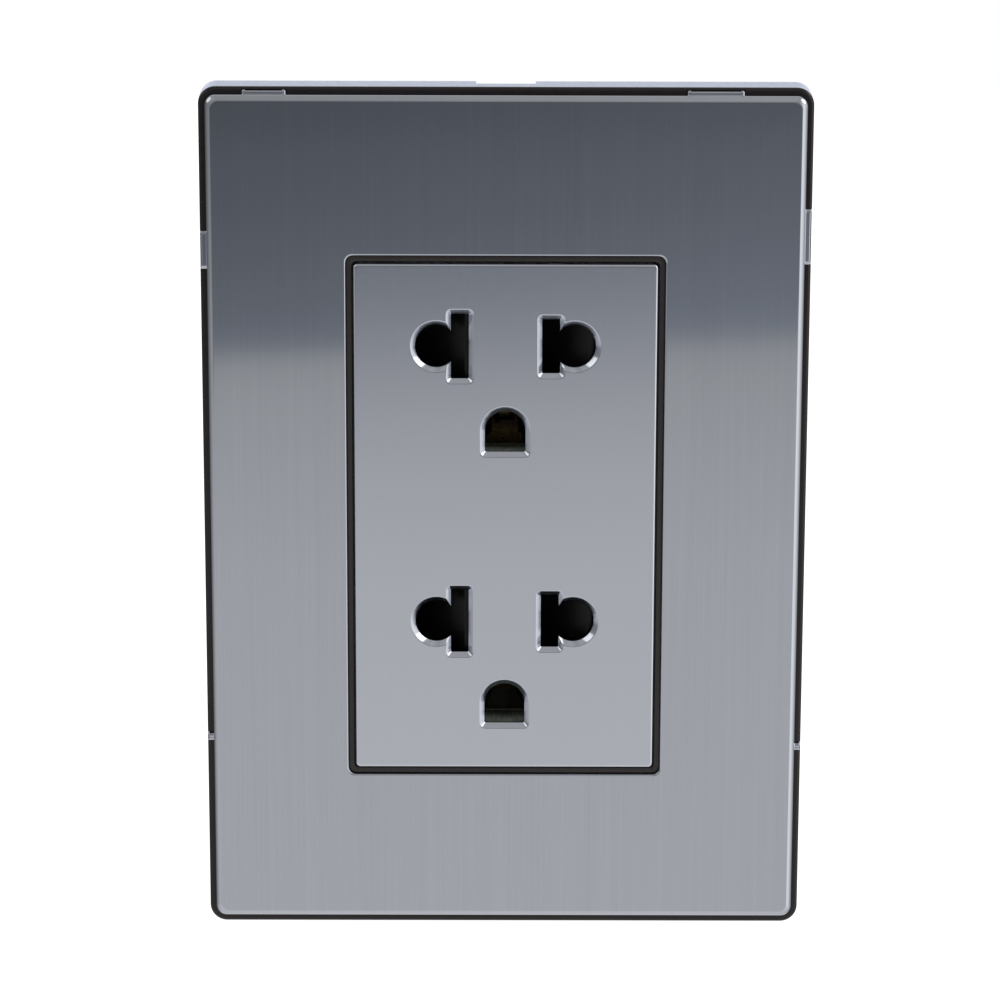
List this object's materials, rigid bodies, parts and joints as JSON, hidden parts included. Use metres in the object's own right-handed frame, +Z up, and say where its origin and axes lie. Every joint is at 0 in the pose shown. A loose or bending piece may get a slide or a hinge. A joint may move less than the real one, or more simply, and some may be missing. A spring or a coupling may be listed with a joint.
{
  "type": "duplex wall outlet",
  "caption": "Shuttered universal duplex wall outlet with flat-blade, round-pin and earth apertures behind a clip-on brushed metal cover plate on a grid frame.",
  "frame": {"origin": "centre of the cover plate's outline, on the front plane of the socket face; the wall surface is the plane Y = 8.8 mm", "axes": "+Z up the wall, +Y into the wall (the face looks along -Y), +X to the right seen from the front"},
  "size_m": [0.0858, 0.0323, 0.1204],
  "materials": {
    "brushed_skin": "fine vertical brushing, satin reflection",
    "dark_rim": "glossy dark brown-black moulding",
    "silver_face": "satin silver paint on plastic",
    "black_plastic": "moulded black",
    "grid_plastic": "moulded dark grey, fine grain",
    "housing_plastic": "moulded ivory, fine grain",
    "contact_bronze": "stamped phosphor bronze",
    "brass_strip": "stamped brass",
    "zinc_steel": "bright zinc plate",
    "earth_green": "green dyed zinc plate",
    "nylon": "natural nylon"
  },
  "bodies": {
    "module": {"grid_frame": "grid_plastic", "screw_retainer_top": "nylon", "screw_retainer_bottom": "nylon", "socket_face": "silver_face", "aperture_liner": "black_plastic", "partition_plate": "black_plastic", "rear_housing": "housing_plastic", "module_screw_top_left": "zinc_steel", "module_screw_top_right": "zinc_steel", "module_screw_bottom_left": "zinc_steel", "module_screw_bottom_right": "zinc_steel", "shutter_spring_upper": "zinc_steel", "shutter_spring_lower": "zinc_steel", "neutral_busbar": "brass_strip", "line_busbar": "brass_strip", "earth_busbar": "brass_strip", "neutral_contact_upper": "contact_bronze", "neutral_rivet_upper": "brass_strip", "neutral_contact_lower": "contact_bronze", "neutral_rivet_lower": "brass_strip", "line_contact_upper": "contact_bronze", "line_rivet_upper": "brass_strip", "line_contact_lower": "contact_bronze", "line_rivet_lower": "brass_strip", "earth_contact_upper": "contact_bronze", "earth_rivet_upper": "brass_strip", "earth_contact_lower": "contact_bronze", "earth_rivet_lower": "brass_strip"},
    "cover": {"faceplate_skin": "brushed_skin", "plate_carrier": "dark_rim"},
    "shutter_upper": {"shutter_upper": "black_plastic"},
    "shutter_lower": {"shutter_lower": "black_plastic"},
    "fixing_screw_top": {"fixing_screw_top": "zinc_steel"},
    "fixing_screw_bottom": {"fixing_screw_bottom": "zinc_steel"},
    "clamp_line_1": {"clamp_plate_line_1": "zinc_steel"},
    "terminal_screw_line_1": {"terminal_screw_line_1": "brass_strip"},
    "clamp_line_2": {"clamp_plate_line_2": "zinc_steel"},
    "terminal_screw_line_2": {"terminal_screw_line_2": "brass_strip"},
    "clamp_neutral_1": {"clamp_plate_neutral_1": "zinc_steel"},
    "terminal_screw_neutral_1": {"terminal_screw_neutral_1": "zinc_steel"},
    "clamp_neutral_2": {"clamp_plate_neutral_2": "zinc_steel"},
    "terminal_screw_neutral_2": {"terminal_screw_neutral_2": "zinc_steel"},
    "clamp_earth": {"clamp_plate_earth": "zinc_steel"},
    "terminal_screw_earth": {"terminal_screw_earth": "earth_green"}
  },
  "joints": [
    {"name": "cover_pull_off", "type": "slide", "parent": "module", "child": "cover", "axis": [0, -1, 0], "range_m": [0, 0.03]},
    {"name": "shutter_upper_slide", "type": "slide", "parent": "module", "child": "shutter_upper", "axis": [1, 0, 0], "range_m": [0, 0.0072], "stiffness_N_per_m": 120, "springref_m": -0.003, "deforming": ["shutter_spring_upper"]},
    {"name": "shutter_lower_slide", "type": "slide", "parent": "module", "child": "shutter_lower", "axis": [1, 0, 0], "range_m": [0, 0.0072], "stiffness_N_per_m": 120, "springref_m": -0.003, "deforming": ["shutter_spring_lower"]},
    {"name": "clamp_line_1_slide", "type": "slide", "parent": "module", "child": "clamp_line_1", "axis": [1, 0, 0], "range_m": [0, 0.0024]},
    {"name": "terminal_screw_line_1_turn", "type": "hinge", "parent": "clamp_line_1", "child": "terminal_screw_line_1", "pos_m": [0.0188, 0.0201, 0.0105], "axis": [-1, 0, 0], "range_deg": [-2, 1442]},
    {"name": "clamp_line_2_slide", "type": "slide", "parent": "module", "child": "clamp_line_2", "axis": [1, 0, 0], "range_m": [0, 0.0024]},
    {"name": "terminal_screw_line_2_turn", "type": "hinge", "parent": "clamp_line_2", "child": "terminal_screw_line_2", "pos_m": [0.0188, 0.0201, -0.0015], "axis": [-1, 0, 0], "range_deg": [-2, 1442]},
    {"name": "clamp_neutral_1_slide", "type": "slide", "parent": "module", "child": "clamp_neutral_1", "axis": [-1, 0, 0], "range_m": [0, 0.0024]},
    {"name": "terminal_screw_neutral_1_turn", "type": "hinge", "parent": "clamp_neutral_1", "child": "terminal_screw_neutral_1", "pos_m": [-0.0188, 0.0201, 0.0105], "axis": [1, 0, 0], "range_deg": [-2, 1442]},
    {"name": "clamp_neutral_2_slide", "type": "slide", "parent": "module", "child": "clamp_neutral_2", "axis": [-1, 0, 0], "range_m": [0, 0.0024]},
    {"name": "terminal_screw_neutral_2_turn", "type": "hinge", "parent": "clamp_neutral_2", "child": "terminal_screw_neutral_2", "pos_m": [-0.0188, 0.0201, -0.0015], "axis": [1, 0, 0], "range_deg": [-2, 1442]},
    {"name": "clamp_earth_slide", "type": "slide", "parent": "module", "child": "clamp_earth", "axis": [-1, 0, 0], "range_m": [0, 0.0024]},
    {"name": "terminal_screw_earth_turn", "type": "hinge", "parent": "clamp_earth", "child": "terminal_screw_earth", "pos_m": [-0.0188, 0.0201, -0.0245], "axis": [1, 0, 0], "range_deg": [-2, 1442]},
    {"name": "fixing_screw_top_turn", "type": "hinge", "parent": "module", "child": "fixing_screw_top", "pos_m": [0, 0, 0.04165], "axis": [0, 1, 0], "continuous": true},
    {"name": "fixing_screw_bottom_turn", "type": "hinge", "parent": "module", "child": "fixing_screw_bottom", "pos_m": [0, 0, -0.04165], "axis": [0, 1, 0], "continuous": true}
  ],
  "couplings": [
    {"joint": "terminal_screw_line_1_turn", "follows": "clamp_line_1_slide", "rad_per_m": 10472},
    {"joint": "terminal_screw_line_2_turn", "follows": "clamp_line_2_slide", "rad_per_m": 10472},
    {"joint": "terminal_screw_neutral_1_turn", "follows": "clamp_neutral_1_slide", "rad_per_m": 10472},
    {"joint": "terminal_screw_neutral_2_turn", "follows": "clamp_neutral_2_slide", "rad_per_m": 10472},
    {"joint": "terminal_screw_earth_turn", "follows": "clamp_earth_slide", "rad_per_m": 10472}
  ]
}
